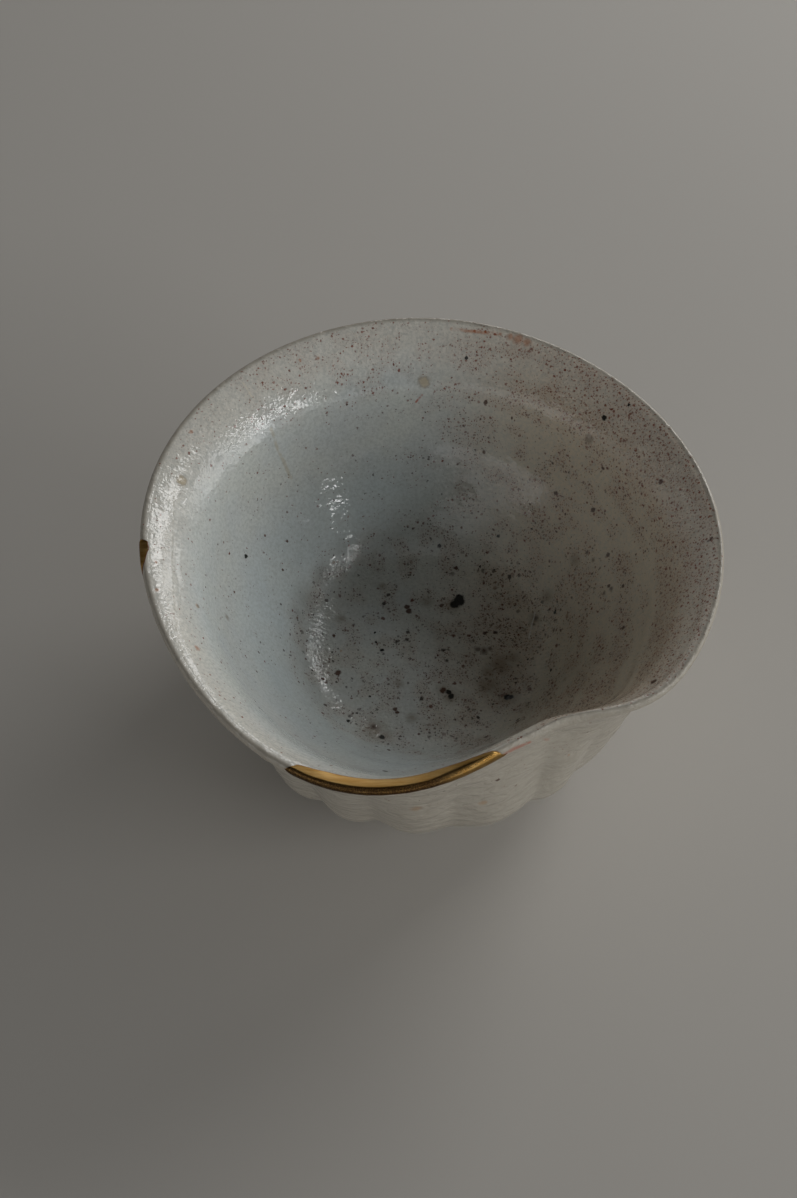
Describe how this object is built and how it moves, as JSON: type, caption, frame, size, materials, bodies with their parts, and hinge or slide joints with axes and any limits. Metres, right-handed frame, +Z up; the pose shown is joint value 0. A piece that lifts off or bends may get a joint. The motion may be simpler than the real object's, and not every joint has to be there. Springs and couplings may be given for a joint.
{
  "type": "kintsugi tea bowl",
  "caption": "Small fluted ceramic tea bowl, pale speckled glaze, lip folded inward at one place, with broken rim filled in gold lacquer.",
  "frame": {"origin": "on the surface that the bowl stands on, under the middle of the rim's outline; the foot ring's centre is 1.2 mm from it", "axes": "+Z up out of the bowl's mouth; -Y towards the front, where the long gold fill is; +X to the right as seen from the front"},
  "size_m": [0.1204, 0.1221, 0.0603],
  "materials": {
    "pale_glaze": "satin to glossy bluish-grey-white glaze on pale ware, with fine iron specks",
    "gold_lacquer": "burnished gold powder on lacquer",
    "worn_gold_lacquer": "worn gold powder on dark lacquer"
  },
  "bodies": {
    "root": {"bowl": "pale_glaze", "rim_repair": "gold_lacquer", "chip_repair": "worn_gold_lacquer"}
  },
  "joints": []
}
